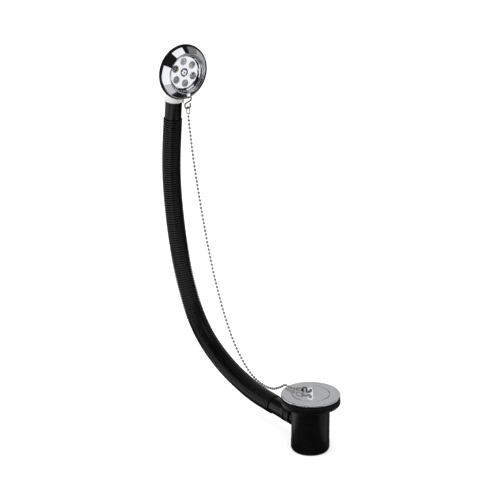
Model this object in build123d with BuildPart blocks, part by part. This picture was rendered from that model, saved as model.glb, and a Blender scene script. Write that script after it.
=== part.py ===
from build123d import *
import os
from math import cos, radians, sin, tan

# Bath waste and overflow, in millimetres, +Z up.
# The origin is on the waste's axis, where the chromed flange sits on the bath.
# The overflow stands at -X, and its rosette faces +X, towards the waste.

# How much of the shorter run beside it a bend of a hose or chain takes
bend_share = 0.45

# Clearances
slip = 0.2  # round pieces pushed one into the other
thread_slip = 0.1  # a screw in its threaded bush
lay_gap = 0.1  # a loose piece lying on another

# Waste flange
flange_r = 36.0
flange_edge = 2.0  # height of the flange above the bath
flange_edge_break = 1.0
pocket_depth = 2.8  # from the flange's top down to the ledge under the plug's cap
pocket_wall = 2.0
seat_top_r = 21.0  # the tapered seat of the plug's rubber
seat_taper = 1.6
seat_height = 7.2
neck_wall = 2.0
neck_depth = 17.0
web_width = 3.0
web_height = 3.0
flange_hub_r = 7.0

# Gasket under the flange and washer on the body
gasket_r = 34.0
gasket_thick = 2.5
seal_r = 36.0
seal_thick = 4.0
seal_edge = 0.8

# Waste body
body_flange_r = 36.2
body_flange_thick = 4.0
body_flange_edge = 1.6
body_flare = 4.0  # fillet between the body's flange and its tube
body_length = 64.5
socket_wall = 1.8
bore_step = 1.2  # ledge in the body under the flange's neck
thread_proud = 0.3  # how far the thread stands out of the tube
thread_length = 10.0
tail_lead = 2.8  # tapered end of the tail
tail_lead_in = 1.7
body_hub_r = 7.0
body_hub_height = 9.0
body_hub_roof = 1.5  # what the bush pulls against
body_hub_drop = 3.0  # from the flange's neck down to the hub

# Screw between flange and body, with its bush
clamp_screw_r = 3.0
clamp_head_r = 5.2
clamp_screw_length = 22.0
clamp_bush_r = 4.8
screw_slot = 1.2
screw_slot_depth = 1.4

# Side tail of the body, which holds the hose's lower end
side_tail_drop = 34.5  # from the body's top face down to its axis
side_neck_r = 9.0
side_collar_r = 11.0
side_collar_x = 33.0  # where the collar starts, from the waste's axis
side_collar_width = 9.0
hose_tail_r = 8.2  # the pipe inside the hose, here and on the elbow
hose_tail_bore_r = 6.6
hose_tail_length = 16.0

# Plug
plug_cap_r = 22.5
plug_ring_gap = 0.5  # open ring between the cap and the flange
plug_cap_thick = 2.8
plug_cap_edge = 0.4
plug_lift = 0.3  # the cap's underside over its ledge
plug_rubber_height = 5.5
plug_stud_r = 3.0
plug_stud_end = 0.8  # bare end under the nut
plug_washer_r = 8.0
plug_washer_thick = 1.0
plug_nut_flats = 10.0
plug_nut_height = 3.0

# Lug on the plug
lug_width = 7.4
lug_height = 8.5
lug_thick = 2.2
lug_hole_r = 2.2
lug_hole_height = 4.2
pull_angle = 217.0  # the way the chain leaves the plug, about Z from +X

# Place and form of the overflow rosette; depths run along +X from the plane of its rim
rosette_x = -273.9
rosette_z = 343.4
rosette_r = 35.5
rosette_rim = 1.0  # straight edge behind the rim's plane
rosette_rim_round = 2.6
rosette_front = 10.7  # depth of the front lip
rosette_mouth_r = 24.4
rosette_lip = 2.1  # width of the rounded front lip
rosette_wall = 1.8
recess_bow = 1.4  # how far the recess's wall bows out, like a bowl
grid_r = 20.4
grid_front = 2.4  # depth of the grid's face
grid_thick = 2.0
grid_holes = 6
grid_hole_r = 4.9
grid_pitch_r = 14.2
grid_turn = 94.0
screw_well_r = 5.6
screw_well_depth = 1.2

# Chain lug under the rosette
rosette_lug_x = 8.7  # depth of the lug's hole
rosette_lug_drop = 28.7  # from the rosette's axis down to the hole
rosette_lug_r = 3.9
rosette_lug_width = 5.0
rosette_lug_hole_r = 2.3

# Screw of the rosette and its bush
rosette_screw_r = 2.5
rosette_head_r = 3.6
screw_cross = 3.0  # across the cross in the head
rosette_head_height = 1.8
rosette_screw_length = 19.0
rosette_bush_r = 4.0
rosette_bush_length = 8.0

# Seal and elbow behind the rosette
overflow_seal_r = 34.5  # where it meets the rosette's rim
overflow_seal_back_r = 31.5
overflow_seal_bore_r = 22.0
overflow_seal_thick = 3.5
elbow_flange_r = 29.0
elbow_flange_thick = 3.0
elbow_front_r = 21.0
elbow_back_r = 11.0
elbow_wall = 2.0
elbow_depth = 29.5  # from the elbow's front face to its back
elbow_boss_r = 5.6
spout_back = 13.6  # from the elbow's front face to the spout's axis, at the rosette's height
spout_tilt = 6.0  # the spout leans back from the vertical
spout_r = 10.8
spout_end = 42.6  # from the rosette's axis along the spout to the collar's underside
spout_collar_r = 11.7
spout_collar_height = 1.2
spout_flare = 4.3

# Hose
hose_trough_r = 10.9
hose_crest_r = 12.1
hose_pitch = 6.0
hose_cuff_r = 10.8
hose_lip_r = 11.2
hose_lip = 2.0
hose_lip_taper = 0.8
hose_top_cuff = 24.0
hose_top_run = 22.0  # straight down the spout's axis
hose_bottom_run = 40.0  # straight along the body's side tail
hose_bottom_cuff = 32.0
hose_bottom_lip = 8.0
hose_groove_r = 9.8  # between the lower lip and the body's collar
hose_groove = 1.5

# Ball chain and its end pieces
ball = 3.1  # across the flats of a bead
ball_pitch = 4.92
ball_facet = 0.293  # chamfer of a bead, as a share of its size
link = 0.9
hook_wire = 2.0
hook_length = 15.6  # between the far ends of a hook's two bends, on the wire's axis
hook_loop = 3.2  # half the width of the lower hook's loops
eye_wire = 1.4
eye_top = 1.95  # half the eye's width where it hangs on the hook
eye_bottom = 2.05
eye_length = 9.2
eye_round = 0.9  # bends of the eye, as a share of half its width
eye_turn = 30.0
eye_y = 1.2  # where the upper eye hangs on its hook
lower_hook_length = 11.0
lower_hook_tilt = 1.0
lower_eye_dip = 8.0
lower_hook_roll = 30.0
wire_facets = 8

# Levels and radii that follow from these
flange_top = flange_edge
ledge_z = flange_top - pocket_depth
seat_bottom_r = seat_top_r - seat_taper
seat_bottom_z = ledge_z - seat_height
neck_r = seat_bottom_r + neck_wall
pocket_r = plug_cap_r + plug_ring_gap
pocket_outer_r = pocket_r + pocket_wall
body_top = -gasket_thick - seal_thick
body_bottom = body_top - body_length
socket_r = neck_r + slip
socket_bottom = -neck_depth - slip
tube_r = socket_r + socket_wall
thread_r = tube_r + thread_proud
body_bore_r = socket_r - bore_step
washer_bore_r = pocket_outer_r + slip
cap_bottom = ledge_z + plug_lift
cap_top = cap_bottom + plug_cap_thick
rubber_bottom = cap_bottom - plug_rubber_height
plug_washer_bottom = rubber_bottom - plug_washer_thick
plug_nut_bottom = plug_washer_bottom - plug_nut_height
plug_stud_bottom = plug_nut_bottom - plug_stud_end
flange_hub_top = -neck_depth + web_height
hub_top = socket_bottom - body_hub_drop
hub_bottom = hub_top - body_hub_height
side_tail_z = body_top - side_tail_drop
side_collar_end = side_collar_x + side_collar_width
hose_bore_r = hose_tail_r + slip
seal_front = rosette_x - rosette_rim
elbow_front = seal_front - overflow_seal_thick
elbow_back = elbow_front - elbow_depth
spout_x = elbow_front - spout_back

# Axes and planes of the two ends
rosette_axis = Axis((rosette_x, 0, rosette_z), (1, 0, 0))
rosette_profile = Plane(origin=(rosette_x, 0, rosette_z), x_dir=(1, 0, 0), z_dir=(0, -1, 0))
rosette_face = Plane(origin=(rosette_x, 0, rosette_z), x_dir=(0, 1, 0), z_dir=(1, 0, 0))
elbow_profile = Plane(origin=(elbow_front, 0, rosette_z), x_dir=(-1, 0, 0), z_dir=(0, 1, 0))
lean = radians(spout_tilt)
spout_plane = Plane(origin=(spout_x, 0, rosette_z), x_dir=(0, 1, 0), z_dir=(-sin(lean), 0, -cos(lean)))
spout_profile = Plane(origin=spout_plane.origin, x_dir=spout_plane.z_dir, z_dir=(0, 1, 0))
side_face = Plane(origin=(0, 0, side_tail_z), x_dir=(0, 1, 0), z_dir=(-1, 0, 0))
pull = Vector(cos(radians(pull_angle)), sin(radians(pull_angle)), 0)
lug_plane = Plane(origin=(0, 0, cap_top), x_dir=pull, z_dir=pull.cross(Vector(0, 0, 1)))

os.makedirs("parts", exist_ok=True)

# Waste flange: a turned profile with a cross grid and a hub across the foot of its neck
with BuildPart() as waste_flange:
    with BuildSketch(Plane.XZ):
        with BuildLine():
            Polyline(
                (flange_r, 0),
                (flange_r, flange_top - flange_edge_break),
                (flange_r - flange_edge_break, flange_top),
                (pocket_r, flange_top),
                (pocket_r, ledge_z),
                (seat_top_r, ledge_z),
                (seat_bottom_r, seat_bottom_z),
                (seat_bottom_r, -neck_depth),
                (neck_r, -neck_depth),
                (neck_r, body_top + slip),
                (pocket_outer_r, ledge_z - pocket_wall),
                (pocket_outer_r, 0),
                close=True,
            )
        make_face()
    revolve(axis=Axis.Z)
    with BuildSketch(Plane.XY.offset(-neck_depth)):
        web_length = seat_bottom_r + neck_r
        Rectangle(web_length, web_width)
        Rectangle(web_width, web_length)
        Circle(flange_hub_r)
    extrude(amount=web_height)
    with Locations((0, 0, flange_hub_top)):
        CounterSinkHole(clamp_screw_r + slip, clamp_head_r + slip)
waste_flange.part.label = "waste_flange"
export_step(waste_flange.part, "parts/waste_flange.step")

# Gasket under the flange
with BuildPart() as flange_gasket:
    with BuildSketch():
        Circle(gasket_r)
        Circle(washer_bore_r, mode=Mode.SUBTRACT)
    extrude(amount=-gasket_thick)
flange_gasket.part.label = "flange_gasket"
export_step(flange_gasket.part, "parts/flange_gasket.step")

# Thick washer on the body, with broken edges
with BuildPart() as body_seal:
    with BuildSketch(Plane.XY.offset(-gasket_thick)):
        Circle(seal_r)
        Circle(washer_bore_r, mode=Mode.SUBTRACT)
    extrude(amount=-seal_thick)
    chamfer(body_seal.edges().filter_by(GeomType.CIRCLE).sort_by(SortBy.RADIUS)[-2:], seal_edge)
body_seal.part.label = "body_seal"
export_step(body_seal.part, "parts/body_seal.step")

# Waste body: flange, tube and tail are one turned profile, then the side tail, the hub and its webs
with BuildPart() as waste_body:
    with BuildSketch(Plane.XZ):
        with BuildLine():
            Polyline(
                (socket_r, body_top),
                (body_flange_r, body_top),
                (body_flange_r, body_top - body_flange_thick),
                (tube_r, body_top - body_flange_thick),
                (tube_r, body_bottom + tail_lead + thread_length),
                (thread_r, body_bottom + tail_lead + thread_length),
                (thread_r, body_bottom + tail_lead),
                (thread_r - tail_lead_in, body_bottom),
                (body_bore_r, body_bottom),
                (body_bore_r, socket_bottom),
                (socket_r, socket_bottom),
                close=True,
            )
        make_face()
    revolve(axis=Axis.Z)
    flange_under = body_top - body_flange_thick
    under_edges = waste_body.edges().filter_by_position(Axis.Z, flange_under, flange_under)
    fillet(under_edges.sort_by(SortBy.RADIUS)[-1], body_flange_edge)
    root_edges = waste_body.edges().filter_by_position(Axis.Z, flange_under, flange_under)
    fillet(root_edges.sort_by(SortBy.RADIUS)[0], body_flare)
    side_root = body_bore_r + slip
    with BuildSketch(side_face.offset(side_root)):
        Circle(side_neck_r)
    extrude(amount=side_collar_x - side_root)
    with BuildSketch(side_face.offset(side_collar_x)):
        Circle(side_collar_r)
    extrude(amount=side_collar_width)
    with BuildSketch(side_face.offset(side_collar_end)):
        Circle(hose_tail_r)
    extrude(amount=hose_tail_length)
    with BuildSketch(side_face):
        Circle(hose_tail_bore_r)
    extrude(amount=side_collar_end + hose_tail_length, mode=Mode.SUBTRACT)
    with BuildSketch(Plane.XY.offset(hub_bottom)):
        body_web_length = 2 * body_bore_r + slip
        Rectangle(body_web_length, web_width)
        Rectangle(web_width, body_web_length)
        Circle(body_hub_r)
    extrude(amount=body_hub_height)
    with BuildSketch(Plane.XY.offset(hub_bottom)):
        Circle(clamp_bush_r)
    extrude(amount=body_hub_height - body_hub_roof, mode=Mode.SUBTRACT)
    with Locations((0, 0, hub_top)):
        Hole(clamp_screw_r + slip, body_hub_height)
waste_body.part.label = "waste_body"
export_step(waste_body.part, "parts/waste_body.step")

# Countersunk screw from the flange's hub down into the bush of the body
clamp_head_height = clamp_head_r - clamp_screw_r
with BuildPart() as clamping_screw:
    with BuildSketch(Plane.XZ):
        with BuildLine():
            Polyline(
                (0, flange_hub_top),
                (clamp_head_r, flange_hub_top),
                (clamp_screw_r, flange_hub_top - clamp_head_height),
                (clamp_screw_r, flange_hub_top - clamp_screw_length),
                (0, flange_hub_top - clamp_screw_length),
                close=True,
            )
        make_face()
    revolve(axis=Axis.Z)
    with BuildSketch(Plane.XY.offset(flange_hub_top)):
        Rectangle(2 * clamp_head_r, screw_slot)
    extrude(amount=-screw_slot_depth, mode=Mode.SUBTRACT)
clamping_screw.part.label = "clamping_screw"
export_step(clamping_screw.part, "parts/clamping_screw.step")

# Threaded bush in the body's hub
with BuildPart() as body_insert:
    with BuildSketch(Plane.XY.offset(hub_bottom)):
        Circle(clamp_bush_r)
        Circle(clamp_screw_r + thread_slip, mode=Mode.SUBTRACT)
    extrude(amount=body_hub_height - body_hub_roof)
body_insert.part.label = "body_insert"
export_step(body_insert.part, "parts/body_insert.step")

# Plug cap: a disc with a stud under it and a drilled lug on top
with BuildPart() as plug_cap:
    with BuildSketch(Plane.XY.offset(cap_bottom)):
        Circle(plug_cap_r)
    extrude(amount=plug_cap_thick)
    chamfer(plug_cap.edges().group_by(Axis.Z)[-1], plug_cap_edge)
    with BuildSketch(Plane.XY.offset(cap_bottom)):
        Circle(plug_stud_r)
    extrude(amount=plug_stud_bottom - cap_bottom)
    with BuildSketch(lug_plane):
        with BuildLine():
            lug_round = lug_width / 2
            lug_shoulder = lug_height - lug_round
            Polyline((-lug_round, lug_shoulder), (-lug_round, 0), (lug_round, 0), (lug_round, lug_shoulder))
            ThreePointArc((lug_round, lug_shoulder), (0, lug_height), (-lug_round, lug_shoulder))
        make_face()
        with Locations((0, lug_hole_height)):
            Circle(lug_hole_r, mode=Mode.SUBTRACT)
    extrude(amount=lug_thick / 2, both=True)
plug_cap.part.label = "plug_cap"
export_step(plug_cap.part, "parts/plug_cap.step")

# Rubber of the plug, tapered like its seat
seat_slope = seat_taper / seat_height
rubber_top_r = seat_top_r - slip
with BuildPart() as plug_seal:
    with BuildSketch(Plane.XZ):
        with BuildLine():
            Polyline(
                (plug_stud_r + slip, cap_bottom),
                (rubber_top_r, cap_bottom),
                (rubber_top_r, ledge_z),
                (rubber_top_r - (ledge_z - rubber_bottom) * seat_slope, rubber_bottom),
                (plug_stud_r + slip, rubber_bottom),
                close=True,
            )
        make_face()
    revolve(axis=Axis.Z)
plug_seal.part.label = "plug_seal"
export_step(plug_seal.part, "parts/plug_seal.step")

# Washer and nut that hold the rubber to the cap
with BuildPart() as plug_washer:
    with BuildSketch(Plane.XY.offset(plug_washer_bottom)):
        Circle(plug_washer_r)
        Circle(plug_stud_r + slip, mode=Mode.SUBTRACT)
    extrude(amount=plug_washer_thick)
plug_washer.part.label = "plug_washer"
export_step(plug_washer.part, "parts/plug_washer.step")

with BuildPart() as plug_nut:
    with BuildSketch(Plane.XY.offset(plug_nut_bottom)):
        RegularPolygon(plug_nut_flats / 2, 6, major_radius=False)
        Circle(plug_stud_r + thread_slip, mode=Mode.SUBTRACT)
    extrude(amount=plug_nut_height)
plug_nut.part.label = "plug_nut"
export_step(plug_nut.part, "parts/plug_nut.step")

# Overflow rosette: a hollow cone ring with rounded rim and lip, its recess, grid, screw well and chain lug
cone_foot_r = rosette_r - rosette_rim_round
lip_r = rosette_mouth_r + rosette_lip
inner_front = rosette_front - rosette_lip - rosette_wall
well_floor = grid_front - screw_well_depth
with BuildPart() as overflow_rosette:
    with BuildSketch(rosette_profile):
        with BuildLine():
            Line((-rosette_rim, rosette_r - rosette_wall), (-rosette_rim, rosette_r))
            Line((-rosette_rim, rosette_r), (0, rosette_r))
            RadiusArc((0, rosette_r), (rosette_rim_round, cone_foot_r), -rosette_rim_round)
            Line((rosette_rim_round, cone_foot_r), (rosette_front - rosette_lip / 2, lip_r))
            ThreePointArc(
                (rosette_front - rosette_lip / 2, lip_r),
                (rosette_front, rosette_mouth_r + rosette_lip / 2),
                (rosette_front - rosette_lip / 2, rosette_mouth_r),
            )
            SagittaArc((rosette_front - rosette_lip / 2, rosette_mouth_r), (grid_front, grid_r), -recess_bow)
            Polyline(
                (grid_front, grid_r),
                (grid_front, screw_well_r),
                (well_floor, rosette_head_r + slip),
                (well_floor, rosette_screw_r + slip),
                (grid_front - grid_thick, rosette_screw_r + slip),
                (grid_front - grid_thick, grid_r + rosette_wall),
            )
            SagittaArc(
                (grid_front - grid_thick, grid_r + rosette_wall),
                (inner_front, rosette_mouth_r + rosette_lip / 2),
                recess_bow,
            )
            Polyline(
                (inner_front, rosette_mouth_r + rosette_lip / 2),
                (0, cone_foot_r),
                (-rosette_rim, rosette_r - rosette_wall),
            )
        make_face()
    revolve(axis=rosette_axis)
    with BuildSketch(rosette_face.offset(grid_front)):
        with PolarLocations(grid_pitch_r, grid_holes, start_angle=grid_turn):
            Circle(grid_hole_r)
    extrude(amount=-grid_thick, mode=Mode.SUBTRACT)
    with BuildSketch(rosette_profile):
        with Locations((rosette_lug_x, -rosette_lug_drop)):
            Circle(rosette_lug_r)
        with Locations((rosette_lug_x, -rosette_lug_drop + rosette_lug_r / 2)):
            Rectangle(2 * rosette_lug_r, rosette_lug_r)
    extrude(amount=rosette_lug_width / 2, both=True)
    with BuildSketch(rosette_profile):
        with Locations((rosette_lug_x, -rosette_lug_drop)):
            Circle(rosette_lug_hole_r)
    extrude(amount=rosette_lug_width, both=True, mode=Mode.SUBTRACT)
overflow_rosette.part.label = "overflow_rosette"
export_step(overflow_rosette.part, "parts/overflow_rosette.step")

# Screw in the middle of the grid
with BuildPart() as rosette_screw:
    with BuildSketch(rosette_face.offset(well_floor)):
        Circle(rosette_head_r)
    extrude(amount=rosette_head_height)
    chamfer(rosette_screw.edges().group_by(Axis.X)[-1], rosette_head_height / 3)
    with BuildSketch(rosette_face.offset(well_floor)):
        Circle(rosette_screw_r)
    extrude(amount=-rosette_screw_length)
    with BuildSketch(rosette_face.offset(well_floor + rosette_head_height)):
        Rectangle(screw_cross, screw_slot)
        Rectangle(screw_slot, screw_cross)
    extrude(amount=-rosette_head_height, mode=Mode.SUBTRACT)
rosette_screw.part.label = "rosette_screw"
export_step(rosette_screw.part, "parts/rosette_screw.step")

# Wedge-shaped seal between the rosette's rim and the elbow's flange
with BuildPart() as overflow_seal:
    with BuildSketch(rosette_profile):
        with BuildLine():
            Polyline(
                (-rosette_rim, overflow_seal_bore_r),
                (-rosette_rim, overflow_seal_r),
                (-rosette_rim - overflow_seal_thick, overflow_seal_back_r),
                (-rosette_rim - overflow_seal_thick, overflow_seal_bore_r),
                close=True,
            )
        make_face()
    revolve(axis=rosette_axis)
overflow_seal.part.label = "overflow_seal"
export_step(overflow_seal.part, "parts/overflow_seal.step")

# Elbow: flange and cone turned about the rosette's axis, the spout with its collar and hose tail, and a boss
bush_front = rosette_x + well_floor - rosette_screw_length + rosette_bush_length
with BuildPart() as overflow_elbow:
    with BuildSketch(elbow_profile):
        with BuildLine():
            Polyline(
                (0, 0),
                (0, elbow_flange_r),
                (elbow_flange_thick, elbow_flange_r),
                (elbow_flange_thick, elbow_front_r),
                (elbow_depth, elbow_back_r),
                (elbow_depth, 0),
                close=True,
            )
        make_face()
    revolve(axis=rosette_axis)
    spout_collar = spout_end - spout_collar_height
    with BuildSketch(spout_profile):
        with BuildLine():
            Polyline(
                (0, 0),
                (0, spout_r),
                (spout_collar - spout_flare, spout_r),
                (spout_collar, spout_collar_r),
                (spout_end, spout_collar_r),
                (spout_end, hose_tail_r),
                (spout_end + hose_tail_length, hose_tail_r),
                (spout_end + hose_tail_length, 0),
                close=True,
            )
        make_face()
    revolve(axis=Axis(spout_plane.origin, spout_plane.z_dir))
    with BuildSketch(elbow_profile):
        with BuildLine():
            Polyline(
                (0, 0),
                (0, elbow_front_r - elbow_wall),
                (elbow_flange_thick, elbow_front_r - elbow_wall),
                (elbow_depth - elbow_wall, elbow_back_r - elbow_wall),
                (elbow_depth - elbow_wall, 0),
                close=True,
            )
        make_face()
    revolve(axis=rosette_axis, mode=Mode.SUBTRACT)
    with BuildSketch(spout_plane):
        Circle(hose_tail_bore_r)
    extrude(amount=spout_end + hose_tail_length, mode=Mode.SUBTRACT)
    boss_face = Plane(origin=(elbow_back + elbow_wall, 0, rosette_z), x_dir=(0, 1, 0), z_dir=(1, 0, 0))
    boss_length = bush_front - elbow_back - elbow_wall
    with BuildSketch(boss_face):
        Circle(elbow_boss_r)
    extrude(amount=boss_length)
    with BuildSketch(boss_face.offset(boss_length)):
        Circle(rosette_bush_r)
    extrude(amount=-rosette_bush_length, mode=Mode.SUBTRACT)
overflow_elbow.part.label = "overflow_elbow"
export_step(overflow_elbow.part, "parts/overflow_elbow.step")

# Threaded bush moulded into the elbow's boss
with BuildPart() as elbow_insert:
    with BuildSketch(Plane(origin=(bush_front, 0, rosette_z), x_dir=(0, 1, 0), z_dir=(1, 0, 0))):
        Circle(rosette_bush_r)
        Circle(rosette_screw_r + thread_slip, mode=Mode.SUBTRACT)
    extrude(amount=-rosette_bush_length)
elbow_insert.part.label = "elbow_insert"
export_step(elbow_insert.part, "parts/elbow_insert.step")


def bend_radii(points):
    """The bend at each inner point of a route: a share of its shorter run over tan of half the turn."""
    radii = []
    for before, at, after in zip(points, points[1:], points[2:]):
        arriving = Vector(at) - Vector(before)
        leaving = Vector(after) - Vector(at)
        half_turn = radians(arriving.get_angle(leaving)) / 2
        radii.append(bend_share * min(arriving.length, leaving.length) / tan(half_turn))
    return radii


# Hose: its route lies in the upright plane through both ends
hose_route = [
    tuple(spout_plane.from_local_coords((0, 0, spout_end))),
    tuple(spout_plane.from_local_coords((0, 0, spout_end + hose_top_run))),
    (-302.4, 0, 246.0),
    (-304.6, 0, 216.0),
    (-303.8, 0, 186.0),
    (-299.6, 0, 153.0),
    (-291.6, 0, 112.0),
    (-276.4, 0, 62.0),
    (-244.0, 0, 7.0),
    (-190.0, 0, -24.8),
    (-125.0, 0, -40.0),
    (-side_collar_end - hose_bottom_run, 0, side_tail_z),
    (-side_collar_end, 0, side_tail_z),
]
hose_radii = bend_radii(hose_route)
print("hose bends", [round(radius) for radius in hose_radii])
with BuildLine() as hose_line:
    FilletPolyline(*hose_route, radius=hose_radii)
hose_path = hose_line.wire()
hose_length = hose_path.length
print("hose length", round(hose_length, 1))


def hose_section(along):
    """The plane across the hose at a length along its route."""
    return Plane(
        origin=hose_path.position_at(along, position_mode=PositionMode.LENGTH),
        x_dir=(0, 1, 0),
        z_dir=hose_path.tangent_at(along, position_mode=PositionMode.LENGTH),
    )


ribbed_length = hose_length - hose_top_cuff - hose_bottom_cuff
rib_count = round(ribbed_length / hose_pitch)
rib_step = ribbed_length / rib_count
hose_rings = [
    (0, hose_lip_r),
    (hose_lip, hose_lip_r),
    (hose_lip + hose_lip_taper, hose_cuff_r),
    (hose_top_cuff - rib_step / 4, hose_cuff_r),
]
for rib in range(rib_count):
    hose_rings.append((hose_top_cuff + rib * rib_step, hose_trough_r))
    hose_rings.append((hose_top_cuff + (rib + 0.5) * rib_step, hose_crest_r))
hose_rings += [
    (hose_length - hose_bottom_cuff, hose_trough_r),
    (hose_length - hose_bottom_cuff + rib_step / 4, hose_cuff_r),
    (hose_length - hose_bottom_lip - hose_lip_taper, hose_cuff_r),
    (hose_length - hose_bottom_lip, hose_lip_r),
    (hose_length - hose_groove, hose_lip_r),
    (hose_length - hose_groove, hose_groove_r),
    (hose_length, hose_groove_r),
]
with BuildPart() as overflow_hose:
    for along, ring_r in hose_rings:
        with BuildSketch(hose_section(along)):
            Circle(ring_r)
    loft(ruled=True)
    with BuildSketch(hose_section(0)):
        Circle(hose_bore_r)
    sweep(path=hose_path, mode=Mode.SUBTRACT)
overflow_hose.part.label = "overflow_hose"
export_step(overflow_hose.part, "parts/overflow_hose.step")


def bent_wire(plane, wire_d, points, bends, closed=False):
    """A piece of wire bent along points drawn on a plane."""
    with BuildPart() as piece:
        with BuildLine(plane) as bend:
            FilletPolyline(*points, radius=bends, close=closed)
        with BuildSketch(Plane(origin=bend.line @ 0, z_dir=bend.line % 0)):
            RegularPolygon(wire_d / 2, wire_facets)
        sweep(path=bend.wire())
    return piece


def chain_eye(plane):
    """A pear-shaped loop from the plane's origin down its y axis, the narrow end on top."""
    corners = [(-eye_top, 0), (eye_top, 0), (eye_bottom, -eye_length), (-eye_bottom, -eye_length)]
    bends = [eye_round * abs(across) for across, _ in corners]
    return bent_wire(plane, eye_wire, corners, bends, closed=True)


# What an eye keeps from the bend it hangs on, and the chain from the eye
hang = (hook_wire + eye_wire) / 2 + lay_gap
eye_end = eye_length + (eye_wire + link) / 2

# Hook on the rosette's lug, in an upright plane across the rosette's axis
lug_wire_z = rosette_z - rosette_lug_drop - rosette_lug_hole_r + hook_wire / 2 + lay_gap
upper_plane = Plane(origin=(rosette_x + rosette_lug_x, 0, lug_wire_z), x_dir=(0, 1, 0), z_dir=(1, 0, 0))
upper_s_hook = bent_wire(
    upper_plane,
    hook_wire,
    [
        (-6.2, -6.6),
        (-6.8, 0),
        (5.6, 0),
        (6.2, -5.6),
        (-3.6, 6.4 - hook_length),
        (-3.4, -hook_length),
        (4.8, -hook_length),
        (4.2, 6.2 - hook_length),
    ],
    [2.6, 2.6, 2.6, 2.4, 2.8, 2.8],
)
upper_s_hook.part.label = "upper_s_hook"
export_step(upper_s_hook.part, "parts/upper_s_hook.step")

# Eye on the upper hook
eye_across = Vector(cos(radians(eye_turn)), sin(radians(eye_turn)), 0)
upper_eye_plane = Plane(
    origin=upper_plane.from_local_coords((eye_y, hang - hook_length, 0)),
    x_dir=eye_across,
    z_dir=eye_across.cross(Vector(0, 0, 1)),
)
upper_chain_eye = chain_eye(upper_eye_plane)
upper_chain_eye.part.label = "upper_chain_eye"
export_step(upper_chain_eye.part, "parts/upper_chain_eye.step")

# Hook in the plug's lug, lying towards the chain; its wire slants through the hole
roll = radians(lower_hook_roll)
lower_wire_lift = hook_wire / 2 / cos(roll) + lug_thick / 2 * tan(roll) + lay_gap
lower_plane = Plane(
    origin=(0, 0, cap_top + lug_hole_height - lug_hole_r + lower_wire_lift),
    x_dir=pull.rotate(Axis((0, 0, 0), pull.cross(Vector(0, 0, 1))), -lower_hook_tilt),
    z_dir=Vector(0, 0, 1).rotate(Axis((0, 0, 0), pull), -lower_hook_roll),
)
lower_s_hook = bent_wire(
    lower_plane,
    hook_wire,
    [
        (3.6, -hook_loop),
        (0, -hook_loop),
        (0, hook_loop),
        (4.5, hook_loop),
        (lower_hook_length - 4.5, -hook_loop),
        (lower_hook_length, -hook_loop),
        (lower_hook_length, hook_loop),
        (lower_hook_length - 3.6, hook_loop),
    ],
    [2.7, 2.7, 1.5, 1.5, 2.7, 2.7],
)
lower_s_hook.part.label = "lower_s_hook"
export_step(lower_s_hook.part, "parts/lower_s_hook.step")

# Eye on the lower hook, dipping to the chain
eye_pull = lower_plane.x_dir.rotate(Axis((0, 0, 0), lower_plane.y_dir), lower_eye_dip)
lower_eye_plane = Plane(
    origin=lower_plane.from_local_coords((lower_hook_length, 0, 0)) - eye_pull * hang,
    x_dir=lower_plane.y_dir.cross(eye_pull) * -1,
    z_dir=lower_plane.y_dir * -1,
)
lower_chain_eye = chain_eye(lower_eye_plane)
lower_chain_eye.part.label = "lower_chain_eye"
export_step(lower_chain_eye.part, "parts/lower_chain_eye.step")

# Ball chain: hangs from the upper eye, dips under the flange's level and climbs over its rim to the lower eye
chain_route = [
    tuple(upper_eye_plane.from_local_coords((0, -eye_end, 0))),
    (-259.0, 1.0, 253.0),
    (-245.5, 0.2, 204.5),
    (-229.0, -0.8, 153.5),
    (-209.5, -2.0, 102.0),
    (-184.5, -3.7, 53.5),
    (-153.0, -5.9, 12.5),
    (-118.0, -8.4, -10.8),
    (-88.0, -10.4, -16.0),
    (-62.0, -12.2, -12.2),
    (-45.0, -13.4, -2.6),
    (-36.8, -13.2, 3.9),
    (-29.4, -13.2, 4.2),
    (-22.2, -12.8, 4.3),
    tuple(lower_eye_plane.from_local_coords((0, -eye_end, 0))),
]
chain_radii = bend_radii(chain_route)
print("chain bends", [round(radius, 1) for radius in chain_radii])
with BuildLine() as chain_line:
    FilletPolyline(*chain_route, radius=chain_radii)
chain_path = chain_line.wire()
chain_length = chain_path.length
ball_count = round(chain_length / ball_pitch)
ball_step = chain_length / ball_count
print("chain length", round(chain_length, 1), "balls", ball_count)


def chain_place(along):
    """The plane across the chain at a length along its route."""
    return Plane(
        origin=chain_path.position_at(along, position_mode=PositionMode.LENGTH),
        z_dir=chain_path.tangent_at(along, position_mode=PositionMode.LENGTH),
    )


with BuildPart() as chain_ball:
    Box(ball, ball, ball)
    chamfer(chain_ball.edges(), ball * ball_facet)

with BuildPart() as ball_chain:
    with Locations(*[chain_place((number + 0.5) * ball_step) for number in range(ball_count)]):
        add(chain_ball.part)
    with Locations(*[chain_place((number + 1) * ball_step) for number in range(ball_count - 1)]):
        Box(link, link, ball_step - ball / 2)
    with Locations(chain_place(ball_step / 4), chain_place(chain_length - ball_step / 4)):
        Box(link, link, ball_step / 2)
ball_chain.part.label = "ball_chain"
export_step(ball_chain.part, "parts/ball_chain.step")
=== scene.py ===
# %% [markdown]
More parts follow.
